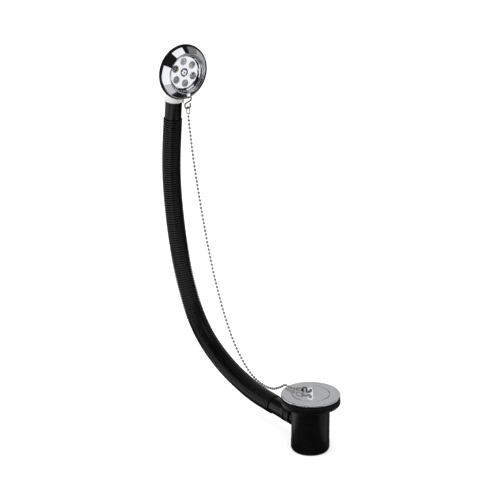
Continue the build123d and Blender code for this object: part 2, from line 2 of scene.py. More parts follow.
# # A bath waste and overflow, dressed for its picture
#
# A bath has two ways out for water: the waste in its floor, shut by a plug on a chain, and the overflow near
# its rim. A corrugated hose joins them under the bath. The shapes with real sizes come from a CAD model,
# which is loaded here as a fixed frame in metres. This lesson adds what CAD leaves out: finishes, fine ribs,
# a thread, round edges and chain balls, light and a camera. The box round the CAD model is kept.

# %% Load the frame
import bpy
from math import asin, copysign, cos, hypot, pi, radians, sin, tan
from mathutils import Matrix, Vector


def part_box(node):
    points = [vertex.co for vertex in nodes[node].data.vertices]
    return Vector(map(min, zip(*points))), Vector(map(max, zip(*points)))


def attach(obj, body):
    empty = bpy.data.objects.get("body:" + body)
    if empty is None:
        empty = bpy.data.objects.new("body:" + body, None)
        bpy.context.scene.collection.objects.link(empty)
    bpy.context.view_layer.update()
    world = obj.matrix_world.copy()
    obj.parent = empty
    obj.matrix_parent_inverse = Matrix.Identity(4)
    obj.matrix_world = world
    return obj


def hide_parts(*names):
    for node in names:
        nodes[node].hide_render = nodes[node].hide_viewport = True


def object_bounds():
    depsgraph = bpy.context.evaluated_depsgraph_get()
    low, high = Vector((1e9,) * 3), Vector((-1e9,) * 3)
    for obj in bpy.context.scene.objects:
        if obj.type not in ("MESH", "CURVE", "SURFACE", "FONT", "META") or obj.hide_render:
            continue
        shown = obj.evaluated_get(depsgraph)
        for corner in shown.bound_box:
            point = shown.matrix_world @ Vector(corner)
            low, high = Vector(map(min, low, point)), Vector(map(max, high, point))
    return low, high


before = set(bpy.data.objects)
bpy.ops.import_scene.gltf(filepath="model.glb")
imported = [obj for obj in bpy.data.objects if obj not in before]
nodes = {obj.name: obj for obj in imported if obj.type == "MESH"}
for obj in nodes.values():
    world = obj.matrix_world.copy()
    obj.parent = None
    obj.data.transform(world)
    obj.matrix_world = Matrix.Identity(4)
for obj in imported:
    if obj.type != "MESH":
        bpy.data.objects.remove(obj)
cad_low, cad_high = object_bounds()
mm = 0.001
print("CAD nodes", len(nodes), "box", [round(v, 4) for v in cad_low], [round(v, 4) for v in cad_high])

# %% [markdown]
# ## The camera
#
# A camera can be aimed with a Track To constraint, but a turned camera with a fixed place is easier to
# fine-tune, a tenth of a degree at a time.

# %% Camera
camera_place = (1.7468, -1.3215, 1.0009)
camera_turn = (radians(69.62), 0, radians(54.82))
camera_sensor = 36
camera_lens = 142.56

bpy.ops.object.select_all(action="DESELECT")
bpy.ops.object.camera_add(location=camera_place, rotation=camera_turn)
camera = bpy.context.object
camera.data.sensor_width = camera_sensor
camera.data.lens = camera_lens
bpy.context.scene.camera = camera
bpy.context.scene.view_settings.view_transform = "Standard"
print("camera", camera_place, "lens", camera_lens)

# %% [markdown]
# ## A white studio
#
# Catalogue pictures are taken on a white table in a white room. So the world is white where it is looked at,
# by the camera or in a mirror, and gives less light to matt surfaces, whose colours then stay as they are
# written. The Light Path node tells those rays apart.

# %% White room
world_light = 0.85
white = (1, 1, 1, 1)


def background_rays(tree):
    """A value of 1 for rays from the camera, off mirrors or through glass, and 0 for all others."""
    path = tree.nodes.new("ShaderNodeLightPath")
    either = tree.nodes.new("ShaderNodeMath")
    either.operation = "MAXIMUM"
    any_ray = tree.nodes.new("ShaderNodeMath")
    any_ray.operation = "MAXIMUM"
    tree.links.new(path.outputs["Is Camera Ray"], either.inputs[0])
    tree.links.new(path.outputs["Is Glossy Ray"], either.inputs[1])
    tree.links.new(either.outputs[0], any_ray.inputs[0])
    tree.links.new(path.outputs["Is Transmission Ray"], any_ray.inputs[1])
    return any_ray.outputs[0]


world = bpy.data.worlds.new("white_room")
world.use_nodes = True
bpy.context.scene.world = world
strength = world.node_tree.nodes.new("ShaderNodeMapRange")
strength.inputs["To Min"].default_value = world_light
strength.inputs["To Max"].default_value = 1.0
world.node_tree.links.new(background_rays(world.node_tree), strength.inputs["Value"])
backdrop = world.node_tree.nodes["Background"]
backdrop.inputs["Color"].default_value = white
world.node_tree.links.new(strength.outputs["Result"], backdrop.inputs["Strength"])
print("world light", world_light)

# %% [markdown]
# Its own matt colour carries the shadow, and the rays that should see a white table get a little extra
# glow, by the same Light Path values.

# %% Floor
floor_size = 9.0
floor_white = (0.86, 0.86, 0.86, 1)
floor_roughness = 0.9
floor_glow = 0.45

bpy.ops.object.select_all(action="DESELECT")
bpy.ops.mesh.primitive_plane_add(size=floor_size, location=(0, 0, cad_low.z))
floor = bpy.context.object
floor.name = "floor"
floor_paint = bpy.data.materials.new("floor_paint")
floor_paint.use_nodes = True
floor_shader = floor_paint.node_tree.nodes["Principled BSDF"]
floor_shader.inputs["Base Color"].default_value = floor_white
floor_shader.inputs["Roughness"].default_value = floor_roughness
floor_shader.inputs["Specular IOR Level"].default_value = 0.0
floor_shader.inputs["Emission Color"].default_value = white
glow = floor_paint.node_tree.nodes.new("ShaderNodeMapRange")
glow.inputs["To Max"].default_value = floor_glow
floor_paint.node_tree.links.new(background_rays(floor_paint.node_tree), glow.inputs["Value"])
floor_paint.node_tree.links.new(glow.outputs["Result"], floor_shader.inputs["Emission Strength"])
floor.data.materials.append(floor_paint)
print("floor at", round(cad_low.z, 4))

# %% [markdown]
# ## Lamps
#
# An area lamp is the soft box of a render: the larger it is, the softer its shadow. They light matt surfaces
# only, because a lamp mirrored in chrome is a hard white square; what the mirrors see is hung up in the next
# step.

# %% Lamps
lamps = {
    # name: place, what it looks at, size, watts
    "overhead_box": ((0.1, -0.3, 1.9), (-0.1, 0, 0.1), 1.4, 8.0),
    "left_box": ((-0.7, -1.8, 0.8), (-0.15, 0, 0.1), 0.8, 7.0),
}
for name, (place, target, size, watts) in lamps.items():
    bpy.ops.object.light_add(type="AREA", location=place)
    lamp = bpy.context.object
    lamp.name = name
    lamp.data.size = size
    lamp.data.energy = watts
    lamp.visible_glossy = False
    lamp.rotation_euler = (Vector(target) - Vector(place)).to_track_quat("-Z", "Y").to_euler()
    print(name, watts, "W")

# %% [markdown]
# ## A dark tent and cards for the chrome to reflect
#
# Chrome has no colour of its own, only what it mirrors, and in a white room it would vanish. A photographer
# puts a dark tent over the table and hangs white and grey cards in it, out of the picture. The tent here is a
# large box. Only mirror rays see it and the cards: they cast no shadow and stay out of view.

# %% Tent
tent_size = 5.0
tent_lift = 0.001
tent_grey = 0.012


def seen_in_mirrors_only(piece, grey):
    """Stage that only mirror rays meet, with an even brightness of its own."""
    paint = bpy.data.materials.new(piece.name)
    paint.use_nodes = True
    shader = paint.node_tree.nodes["Principled BSDF"]
    shader.inputs["Base Color"].default_value = (0, 0, 0, 1)
    shader.inputs["Specular IOR Level"].default_value = 0.0
    shader.inputs["Emission Color"].default_value = (grey, grey, grey, 1)
    shader.inputs["Emission Strength"].default_value = 1.0
    piece.data.materials.append(paint)
    piece.visible_camera = False
    piece.visible_diffuse = False
    piece.visible_transmission = False
    piece.visible_shadow = False


bpy.ops.object.select_all(action="DESELECT")
bpy.ops.mesh.primitive_cube_add(size=tent_size, location=(0, 0, cad_low.z + tent_lift + tent_size / 2))
tent = bpy.context.object
tent.name = "dark_tent"
seen_in_mirrors_only(tent, tent_grey)
print("tent", tent_size, "m, grey", tent_grey)

# %% [markdown]
# A card could be placed by trial, but it is easier to think as the chrome does: each card fills a range of
# azimuths and elevations as seen from the piece it is hung for, the rosette, the hose or the waste's flange.
# Its distance hardly matters to a small mirror, so it stands where it is out of the way.

# %% Hanging cards
rosette_low, rosette_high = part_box("overflow_rosette")
rosette_middle = (rosette_low + rosette_high) / 2
flange_middle = Vector((0, 0, 0))
hose_middle = Vector((-0.29, 0, 0.15))


def card(name, middle, azimuths, elevations, grey, reach=1.0):
    """A plain card that fills these angles, in degrees, as seen from that middle."""
    turn = radians(sum(azimuths) / 2)
    rise = radians(sum(elevations) / 2)
    half_wide = radians(azimuths[1] - azimuths[0]) / 2 * cos(rise)
    half_high = radians(elevations[1] - elevations[0]) / 2
    away = Vector((cos(rise) * cos(turn), cos(rise) * sin(turn), sin(rise)))
    bpy.ops.object.select_all(action="DESELECT")
    bpy.ops.mesh.primitive_plane_add(size=2, location=middle + away * reach)
    piece = bpy.context.object
    piece.name = name
    piece.rotation_euler = away.to_track_quat("Z", "Y").to_euler()
    piece.scale = (reach * tan(half_wide), reach * tan(half_high), 1)
    seen_in_mirrors_only(piece, grey)
    print(name, "azimuth", azimuths, "elevation", elevations, "grey", grey)


card("strip_card", rosette_middle, (-72, -50), (-40, 20), 1.0, reach=0.6)
card("overhead_card", rosette_middle, (-38, 68), (57, 78), 1.0)
card("grid_card", rosette_middle, (24, 42), (-24, -6), 1.0, reach=0.45)
card("side_card", rosette_middle, (94, 140), (-30, 24), 0.42)
card("dim_card", rosette_middle, (76, 140), (16, 52), 0.2, reach=1.1)
card("lip_card", rosette_middle, (-17, 30), (36, 50), 0.45)
card("right_card", rosette_middle, (66, 82), (-6, 24), 0.6)
card("left_card", hose_middle, (-178, -74), (-42, 2), 0.6, reach=0.45)
card("edge_card", flange_middle, (-80, 60), (30, 75), 0.7, reach=0.25)
card("lug_card", flange_middle, (-78, -62), (8, 34), 1.0, reach=0.6)
card("flange_card", flange_middle, (125, 164), (10, 31), 0.37, reach=1.2)

# %% [markdown]
# Surfaces that face down mirror the table. Three cards lie on it, so that the rosette's cone and the flange's
# edge show it in parts, white, pale and grey, and not as one even tone.

# %% Cards on the table


def table_card(name, low, high, grey):
    """A card that lies on the table between two corners, x and y in metres."""
    bpy.ops.object.select_all(action="DESELECT")
    middle = ((low[0] + high[0]) / 2, (low[1] + high[1]) / 2, cad_low.z + 2 * tent_lift)
    bpy.ops.mesh.primitive_plane_add(size=1, location=middle)
    piece = bpy.context.object
    piece.name = name
    piece.scale = (high[0] - low[0], high[1] - low[1], 1)
    seen_in_mirrors_only(piece, grey)
    print(name, "from", low, "to", high, "grey", grey)


table_card("near_table", (-0.32, -0.362), (-0.055, -0.035), 0.62)
table_card("white_table", (-0.30, -0.62), (0.02, -0.372), 1.0)
table_card("right_table", (0.03, 0.03), (0.50, 0.60), 0.35)

# %% [markdown]
# ## Shared effects
#
# No real surface is even. Two small node groups give every finish its unevenness: soft_clouds runs slowly
# between two values, for polish and handling marks, and fine_grain is the tight texture that a mould leaves,
# as a height for a Bump node. Both read Object coordinates, so the pattern stays put on its piece.

# %% Start of a group


def effect_group(name, inputs, output):
    """An empty shader group with these numbers as inputs and one value as output."""
    group = bpy.data.node_groups.new(name, "ShaderNodeTree")
    for label, value in inputs.items():
        socket = group.interface.new_socket(label, in_out="INPUT", socket_type="NodeSocketFloat")
        socket.default_value = value
    group.interface.new_socket(output, in_out="OUTPUT", socket_type="NodeSocketFloat")
    entry = group.nodes.new("NodeGroupInput")
    way_out = group.nodes.new("NodeGroupOutput")
    place = group.nodes.new("ShaderNodeTexCoord")
    return group, entry, way_out, place


# %% Soft clouds
cloud_detail = 4
cloud_span = (0.3, 0.7)  # the part of the noise that is spread over the two values

soft_clouds, entry, way_out, place = effect_group("soft_clouds", {"Scale": 40, "Low": 0, "High": 1}, "Value")
noise = soft_clouds.nodes.new("ShaderNodeTexNoise")
noise.inputs["Detail"].default_value = cloud_detail
spread = soft_clouds.nodes.new("ShaderNodeMapRange")
spread.inputs["From Min"].default_value = cloud_span[0]
spread.inputs["From Max"].default_value = cloud_span[1]
soft_clouds.links.new(place.outputs["Object"], noise.inputs["Vector"])
soft_clouds.links.new(entry.outputs["Scale"], noise.inputs["Scale"])
soft_clouds.links.new(noise.outputs["Fac"], spread.inputs["Value"])
soft_clouds.links.new(entry.outputs["Low"], spread.inputs["To Min"])
soft_clouds.links.new(entry.outputs["High"], spread.inputs["To Max"])
soft_clouds.links.new(spread.outputs["Result"], way_out.inputs["Value"])
print("group", soft_clouds.name)

# %% Fine grain
fine_grain, entry, way_out, place = effect_group("fine_grain", {"Scale": 1500}, "Height")
cells = fine_grain.nodes.new("ShaderNodeTexVoronoi")
cells.feature = "SMOOTH_F1"
fine_grain.links.new(place.outputs["Object"], cells.inputs["Vector"])
fine_grain.links.new(entry.outputs["Scale"], cells.inputs["Scale"])
fine_grain.links.new(cells.outputs["Distance"], way_out.inputs["Height"])
print("group", fine_grain.name)

# %% [markdown]
# ## Finishes
#
# One function makes every finish: a Principled shader whose colour runs between two tones, whose roughness
# runs between two values, and, on moulded pieces, a faint grain through a Bump node. What is the same all
# over is written on the shader's own sockets.

# %% Finish maker
sheen_roughness = 0.35
soak_depth = 0.006  # how far light soaks into white plastic, in metres
polish_scale = 3  # handling marks are this much finer than the clouds of colour


def effect(tree, group, **values):
    """A shared effect placed in a material with its own values."""
    node = tree.nodes.new("ShaderNodeGroup")
    node.node_tree = group
    for label, value in values.items():
        node.inputs[label].default_value = value
    return node


def finish(name, dark, light, cloud, rough, metallic=0.0, specular=0.5, sheen=0.0, soak=0.0,
           grain=None, depth=0.0):
    """A material between two tones and two roughnesses, with a grain of that scale and depth."""
    material = bpy.data.materials.new(name)
    material.use_nodes = True
    tree = material.node_tree
    shader = tree.nodes["Principled BSDF"]
    shader.inputs["Metallic"].default_value = metallic
    shader.inputs["Specular IOR Level"].default_value = specular
    shader.inputs["Sheen Weight"].default_value = sheen
    shader.inputs["Sheen Roughness"].default_value = sheen_roughness
    shader.inputs["Subsurface Weight"].default_value = soak
    shader.inputs["Subsurface Radius"].default_value = (1.0, 1.0, 1.0)
    shader.inputs["Subsurface Scale"].default_value = soak_depth
    tone = effect(tree, soft_clouds, Scale=cloud)
    mix = tree.nodes.new("ShaderNodeMix")
    mix.data_type = "RGBA"
    mix.inputs["A"].default_value = (*dark, 1)
    mix.inputs["B"].default_value = (*light, 1)
    tree.links.new(tone.outputs["Value"], mix.inputs["Factor"])
    tree.links.new(mix.outputs["Result"], shader.inputs["Base Color"])
    polish = effect(tree, soft_clouds, Scale=cloud * polish_scale, Low=rough[0], High=rough[1])
    tree.links.new(polish.outputs["Value"], shader.inputs["Roughness"])
    if grain:
        height = effect(tree, fine_grain, Scale=grain)
        bump = tree.nodes.new("ShaderNodeBump")
        bump.inputs["Strength"].default_value = 1.0
        bump.inputs["Distance"].default_value = depth
        tree.links.new(height.outputs["Height"], bump.inputs["Height"])
        tree.links.new(bump.outputs["Normal"], shader.inputs["Normal"])
    return material


# %% [markdown]
# Polished chrome is a smooth metal with a touch of blue. The flange and the plug are duller from cleaning, so
# their metal lets a little matt colour through. The chain is plated too, but darker, and warmer on its wires.
# The black plastics and the rubber are nearly without colour, and their moulds leave a fine grain. The white
# elbow lets light soak in, which softens its shadows.

# %% Finishes
finishes = {
    # slot or look: material, dark tone, light tone, scale of the clouds, range of roughness
    "chrome": finish("polished_chrome", (0.84, 0.85, 0.88), (0.89, 0.90, 0.93), 60, (0.03, 0.07), metallic=1),
    "flange_chrome": finish(
        "satin_chrome", (0.84, 0.85, 0.88), (0.89, 0.90, 0.93), 60, (0.03, 0.07), metallic=0.85
    ),
    "chain_metal": finish(
        "plated_wire", (0.30, 0.25, 0.21), (0.46, 0.41, 0.37), 300, (0.06, 0.12), metallic=1
    ),
    "chain_ball": finish(
        "plated_ball", (0.40, 0.38, 0.36), (0.54, 0.53, 0.51), 300, (0.10, 0.18), metallic=0.8
    ),
    "steel": finish("screw_steel", (0.60, 0.60, 0.60), (0.72, 0.72, 0.71), 250, (0.22, 0.34), metallic=1),
    "brass": finish("turned_brass", (0.62, 0.46, 0.19), (0.74, 0.58, 0.28), 250, (0.25, 0.38), metallic=1),
    "black_plastic": finish(
        "moulded_black", (0.0022, 0.0022, 0.0027), (0.0040, 0.0040, 0.0048), 90, (0.26, 0.36), specular=0.32,
        sheen=0.10, grain=1800, depth=0.00003,
    ),
    "hose_plastic": finish(
        "hose_black", (0.0016, 0.0016, 0.0020), (0.0030, 0.0030, 0.0036), 70, (0.27, 0.32), specular=0.02,
        grain=1500, depth=0.00001,
    ),
    "white_plastic": finish(
        "moulded_white", (0.92, 0.90, 0.89), (0.95, 0.93, 0.92), 50, (0.25, 0.35), soak=1.0,
        grain=1800, depth=0.00002,
    ),
    "black_rubber": finish(
        "seal_rubber", (0.0025, 0.0025, 0.0025), (0.005, 0.005, 0.005), 140, (0.5, 0.65), specular=0.25,
        sheen=0.05, grain=2600, depth=0.00004,
    ),
}
print("finishes", list(finishes))

# %% [markdown]
# ## Pieces whose CAD shape is right
#
# Most pieces need no new shape, only round shading. A CAD mesh is loose triangles, so a copy is merged first,
# and smoothed where two faces meet at a small angle. Weighted normals then let the large flat faces keep
# their flat shading. The wires of the hooks are eight-sided, so their limit is wider.

# %% Helpers for copies
merge_gap = 0.000001


def select_only(piece):
    """The one piece that the next operators act on."""
    bpy.ops.object.select_all(action="DESELECT")
    piece.select_set(True)
    bpy.context.view_layer.objects.active = piece


def merge_doubles(piece):
    """Points of a piece that lie in one place, made one."""
    select_only(piece)
    bpy.ops.object.mode_set(mode="EDIT")
    bpy.ops.mesh.select_all(action="SELECT")
    bpy.ops.mesh.remove_doubles(threshold=merge_gap)
    bpy.ops.object.mode_set(mode="OBJECT")


def merged_copy(node, name):
    """A copy of a CAD node with its triangles joined, which then stands for the node."""
    piece = bpy.data.objects.new(name, nodes[node].data.copy())
    bpy.context.scene.collection.objects.link(piece)
    select_only(piece)
    bpy.ops.mesh.customdata_custom_splitnormals_clear()
    merge_doubles(piece)
    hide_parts(node)
    return piece


def round_shading(piece, angle):
    """Smooth shading across edges flatter than this angle, with large faces kept flat."""
    select_only(piece)
    bpy.ops.object.shade_smooth_by_angle(angle=radians(angle))
    weigh = piece.modifiers.new("large_faces_first", "WEIGHTED_NORMAL")
    weigh.keep_sharp = True
    bpy.ops.object.modifier_apply(modifier=weigh.name)


def dress(piece, slot, look=None):
    piece.data.materials.clear()
    piece.data.materials.append(finishes[look or slot])
    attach(piece, "root")


# %% Smooth copies
turned_angle = 32
wire_angle = 60
own_looks = {"rosette_screw": "chrome"}
smooth_pieces = {
    "steel": ["rosette_screw", "clamping_screw"],
    "white_plastic": ["overflow_elbow"],
    "black_rubber": ["flange_gasket", "body_seal", "plug_seal"],
    "chain_metal": ["upper_s_hook", "upper_chain_eye", "lower_chain_eye", "lower_s_hook"],
}
for slot, names in smooth_pieces.items():
    for node in names:
        piece = merged_copy(node, node + "_smooth")
        round_shading(piece, wire_angle if slot == "chain_metal" else turned_angle)
        dress(piece, slot, own_looks.get(node))
    print(slot, names)

# %% [markdown]
# ## Turned chrome
#
# Flange, plug and rosette are turned and polished, and in a mirror finish every facet of a mesh shows as a
# dent. So these three are made anew, on the sizes of their CAD pieces. A turned piece is a stack of rings: a
# circle is extruded ring by ring to the next height and width, which is the same as spinning its profile, and
# every row of faces stays even.

# %% Helpers for turned pieces
chrome_around = 144


def ring_tube(name, rings, around):
    """A straight tube along +Z through these rings, each a height and a radius."""
    bpy.ops.object.select_all(action="DESELECT")
    height, radius = rings[0]
    bpy.ops.mesh.primitive_circle_add(vertices=around, radius=radius, location=(0, 0, height))
    tube = bpy.context.object
    tube.name = name
    bpy.ops.object.transform_apply(location=True, rotation=False, scale=False)
    bpy.ops.object.mode_set(mode="EDIT")
    bpy.ops.mesh.select_all(action="SELECT")
    for (low, narrow), (high, wide) in zip(rings, rings[1:]):
        bpy.ops.mesh.extrude_edges_move(TRANSFORM_OT_translate={"value": (0, 0, high - low)})
        bpy.ops.transform.resize(value=(wide / narrow, wide / narrow, 1), center_override=(0, 0, high))
    bpy.ops.object.mode_set(mode="OBJECT")
    return tube


def closed_shell(piece):
    """The same shell with doubled rings merged, open ends filled and faces turned outwards."""
    merge_doubles(piece)
    bpy.ops.object.mode_set(mode="EDIT")
    bpy.ops.mesh.select_all(action="DESELECT")
    bpy.ops.mesh.select_non_manifold()
    bpy.ops.mesh.edge_face_add()
    bpy.ops.mesh.select_all(action="SELECT")
    bpy.ops.mesh.normals_make_consistent(inside=False)
    bpy.ops.object.mode_set(mode="OBJECT")
    return piece


# %% [markdown]
# A profile is a list of rings, each a height and a radius in millimetres. Its edges get the small rounds that
# polishing leaves, since a round edge is what draws the bright and dark lines on chrome. An arc makes such a
# round, and a bow makes a wall that is slightly hollow.

# %% Helpers for profiles


def arc(height, radius, size, start, end, steps):
    """Rings along an arc of this size about a height and a radius, in degrees from the outward side."""
    angles = [radians(start + (end - start) * step / steps) for step in range(steps + 1)]
    return [(height + size * sin(angle), radius + size * cos(angle)) for angle in angles]


def bow(start, end, rise, steps):
    """Rings along a hollow wall from start to end that bows outwards by its rise."""
    along = Vector(end) - Vector(start)
    size = (along.length_squared / 4 + rise**2) / (2 * rise)
    outward = Vector((along.y, -along.x)).normalized()
    middle = (Vector(start) + Vector(end)) / 2 - outward * (size - rise)
    half = asin(along.length / 2 / size)
    turns = [half * (2 * step / steps - 1) for step in range(steps + 1)]
    rings = [middle + size * (outward * cos(turn) + along.normalized() * sin(turn)) for turn in turns]
    return [tuple(ring) for ring in rings]


def in_metres(rings):
    """Rings given in millimetres."""
    return [(height * mm, radius * mm) for height, radius in rings]


# %% [markdown]
# Webs, hubs, lugs and holes are not turned. They are bars and blocks that a Boolean adds to a turned piece or
# takes out of it, as a founder adds to a pattern and a fitter drills it. A Boolean can leave slivers behind,
# so the piece is cleaned after each one. A lug is a rod with one half squared off: a block joined to a rod
# would leave faces in one plane, which a Boolean can't tell apart.

# %% Helpers for cast and drilled shapes
rod_around = 48
across = (pi / 2, 0, 0)
soft_angle = 40
soft_segments = 2


def rod(radius, length, middle, turn=(0, 0, 0)):
    """A round bar along Z, or turned from it, to add to a piece or to take out of it."""
    bpy.ops.object.select_all(action="DESELECT")
    bpy.ops.mesh.primitive_cylinder_add(
        vertices=rod_around, radius=radius * mm, depth=length * mm,
        location=Vector(middle) * mm, rotation=turn,
    )
    bpy.ops.object.transform_apply(location=True, rotation=True, scale=False)
    return bpy.context.object


def block(size, middle):
    """A block of this size to add to a piece."""
    bpy.ops.object.select_all(action="DESELECT")
    bpy.ops.mesh.primitive_cube_add(size=1, location=Vector(middle) * mm)
    bpy.context.object.scale = Vector(size) * mm
    bpy.ops.object.transform_apply(location=True, rotation=False, scale=True)
    return bpy.context.object


def lug_blank(width, thick, middle, reach):
    """A flat bar across Y, round about its middle and square at its end, a reach along Z."""
    lug = rod(width / 2, thick, middle, across)
    level = 0.01  # points this near to the middle's height stay where they are
    for vertex in lug.data.vertices:
        side = vertex.co / mm - Vector(middle)
        if side.z * reach > level:
            vertex.co.x = (middle[0] + copysign(width / 2, side.x)) * mm
            vertex.co.z = (middle[2] + reach) * mm
    merge_doubles(lug)
    return lug


def combine(piece, tool, operation):
    """The tool added to a piece (UNION) or taken out of it (DIFFERENCE); the tool is then gone."""
    select_only(piece)
    step = piece.modifiers.new("combine", "BOOLEAN")
    step.operation = operation
    step.solver = "EXACT"
    step.object = tool
    bpy.ops.object.modifier_apply(modifier=step.name)
    bpy.data.objects.remove(tool)
    bpy.ops.object.mode_set(mode="EDIT")
    bpy.ops.mesh.select_all(action="SELECT")
    bpy.ops.mesh.dissolve_degenerate(threshold=merge_gap)
    bpy.ops.object.mode_set(mode="OBJECT")
    merge_doubles(piece)


def soften(piece, width):
    """Small rounds on the edges of a cast piece."""
    select_only(piece)
    edges = piece.modifiers.new("soft_edges", "BEVEL")
    edges.width = width * mm
    edges.segments = soft_segments
    edges.limit_method = "ANGLE"
    edges.angle_limit = radians(soft_angle)
    bpy.ops.object.modifier_apply(modifier=edges.name)


# %% [markdown]
# The flange lies in the bath's floor. Its outer edge is rounded, its pocket takes the plug, and a cross grid
# with a hub for the clamping screw spans the foot of its neck. The hub is countersunk for the screw's head.

# %% Flange, turned
flange_r, flange_top, flange_round = 36.0, 2.0, 1.0
pocket_r, pocket_round, ledge_z = 23.0, 0.6, -0.8
seat_r, seat_foot = 21.0, -8.0
boss_r, boss_foot = 25.0, -2.8
neck_top, neck_foot, neck_r, neck_bore_r = -6.3, -17.0, 21.4, 19.4

flange = closed_shell(ring_tube("waste_flange_turned", in_metres(
    [(0, flange_r)]
    + arc(flange_top - flange_round, flange_r - flange_round, flange_round, 0, 90, 8)
    + arc(flange_top - pocket_round, pocket_r + pocket_round, pocket_round, 90, 180, 5)
    + [(ledge_z, pocket_r), (ledge_z, seat_r), (seat_foot, neck_bore_r)]
    + [(neck_foot, neck_bore_r), (neck_foot, neck_r), (neck_top, neck_r)]
    + [(boss_foot, boss_r), (0, boss_r), (0, flange_r)]
), chrome_around))
print("flange rings turned, faces", len(flange.data.polygons))

# %% Flange, webs and hub
web_width, web_height, hub_r = 3.0, 3.0, 7.0
web_step = 0.04  # keeps the ends of webs and hub out of one plane
countersink = [(-17.2, 3.2), (-16.53, 3.2), (-13.9, 5.487)]

web_middle = neck_foot + web_height / 2
web_length = neck_bore_r + neck_r
combine(flange, block((web_length, web_width, web_height - web_step), (0, 0, web_middle)), "UNION")
combine(flange, block((web_width, web_length, web_height - 2 * web_step), (0, 0, web_middle)), "UNION")
combine(flange, rod(hub_r, web_height, (0, 0, web_middle)), "UNION")
combine(flange, closed_shell(ring_tube("countersink", in_metres(countersink), rod_around)), "DIFFERENCE")
round_shading(flange, turned_angle)
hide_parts("waste_flange")
dress(flange, "chrome", "flange_chrome")
print("flange faces", len(flange.data.polygons))

# %% [markdown]
# The plug's cap sits in the flange's pocket with an open ring round it. Its lug is a cast eye: a rod with one
# half squared off, drilled for the hook, with soft edges.

# %% Plug, turned
cap_r, cap_top, cap_bottom, cap_round = 22.5, 2.3, -0.5, 0.6
stud_r, stud_foot = 3.0, -10.8

cap = closed_shell(ring_tube("plug_cap_turned", in_metres(
    [(stud_foot, stud_r), (cap_bottom, stud_r), (cap_bottom, cap_r)]
    + arc(cap_top - cap_round, cap_r - cap_round, cap_round, 0, 90, 5)
), chrome_around))
print("cap and stud turned, faces", len(cap.data.polygons))

# %% Plug, lug
lug_width, lug_height, lug_thick = 7.4, 8.5, 2.2
lug_hole_r, lug_hole_height = 2.2, 4.2
lug_sunk, lug_soft = 0.5, 0.3
lug_turn = radians(217)

shoulder = lug_height - lug_width / 2
lug = lug_blank(lug_width, lug_thick, (0, 0, cap_top + shoulder), -shoulder - lug_sunk)
combine(lug, rod(lug_hole_r, 2 * lug_thick, (0, 0, cap_top + lug_hole_height), across), "DIFFERENCE")
soften(lug, lug_soft)
lug.rotation_euler = (0, 0, lug_turn)
bpy.ops.object.transform_apply(location=False, rotation=True, scale=False)
combine(cap, lug, "UNION")
round_shading(cap, turned_angle)
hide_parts("plug_cap")
dress(cap, "chrome", "flange_chrome")
print("plug faces", len(cap.data.polygons))

# %% [markdown]
# The rosette hides the overflow's hole: a rim bead, a cone, a round lip, a hollow recess and a flat grid with
# six holes, and a lug under the lip for the chain's hook. It is turned upright like the flange and then
# tipped over, so that its depth runs along +X.

# %% Rosette, turned
rosette_place = Vector((-273.9, 0, 343.4))
rim_back, rim_inner_r, bead_middle_r, bead_size = -1.0, 33.7, 32.9, 2.52
lip_depth, lip_r, lip_round = 9.65, 25.45, 1.05
grid_depth, grid_r, grid_back, back_r = 2.4, 20.4, 0.4, 22.2
recess_bow, cone_back = 1.4, 6.8
sink_r, sink_foot_r, sink_depth, screw_hole_r = 5.6, 3.8, 1.2, 2.7
tipped = (0, pi / 2, 0)


def tip_over(piece):
    """A piece turned about Z, tipped so that its depth runs along +X from the rosette's rim."""
    select_only(piece)
    piece.rotation_euler = tipped
    piece.location = rosette_place * mm
    bpy.ops.object.transform_apply(location=True, rotation=True, scale=False)
    return piece


rosette = tip_over(closed_shell(ring_tube("overflow_rosette_turned", in_metres(
    [(rim_back, rim_inner_r), (rim_back, bead_middle_r + bead_size)]
    + arc(0, bead_middle_r, bead_size, 0, 90, 10)
    + arc(lip_depth, lip_r, lip_round, 0, 180, 16)
    + bow((lip_depth, lip_r - lip_round), (grid_depth, grid_r), recess_bow, 16)[1:]
    + [(grid_depth, sink_r), (sink_depth, sink_foot_r), (sink_depth, screw_hole_r)]
    + [(grid_back, screw_hole_r), (grid_back, back_r)]
    + bow((grid_back, back_r), (cone_back, lip_r), -recess_bow, 8)[1:]
    + [(0, bead_middle_r), (rim_back, rim_inner_r)]
), chrome_around)))
print("rosette rings turned, faces", len(rosette.data.polygons))

# %% Rosette, holes and lug
holes, hole_r, hole_pitch_r, hole_turn, hole_length = 6, 4.9, 14.2, 94, 4.0
eye_depth, eye_drop, eye_r, eye_width, eye_hole_r, eye_soft = 8.7, 28.7, 3.9, 5.0, 2.3, 0.4

grid_middle = (grid_depth + grid_back) / 2
for number in range(holes):
    angle = radians(hole_turn + 360 / holes * number)
    middle = rosette_place + Vector((grid_middle, hole_pitch_r * cos(angle), hole_pitch_r * sin(angle)))
    combine(rosette, rod(hole_r, hole_length, middle, tipped), "DIFFERENCE")
eye_place = rosette_place + Vector((eye_depth, 0, -eye_drop))
eye = lug_blank(2 * eye_r, eye_width, eye_place, eye_r)
combine(eye, rod(eye_hole_r, 2 * eye_width, eye_place, across), "DIFFERENCE")
soften(eye, eye_soft)
combine(rosette, eye, "UNION")
round_shading(rosette, turned_angle)
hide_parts("overflow_rosette")
dress(rosette, "chrome")
print("rosette faces", len(rosette.data.polygons))

# %% [markdown]
# The rubber seal behind the rosette ends in a thin lip that grips the rim's bead. It shows as a black line
# all round the rosette. The lip is one more turned ring, joined to the copy of the CAD seal.

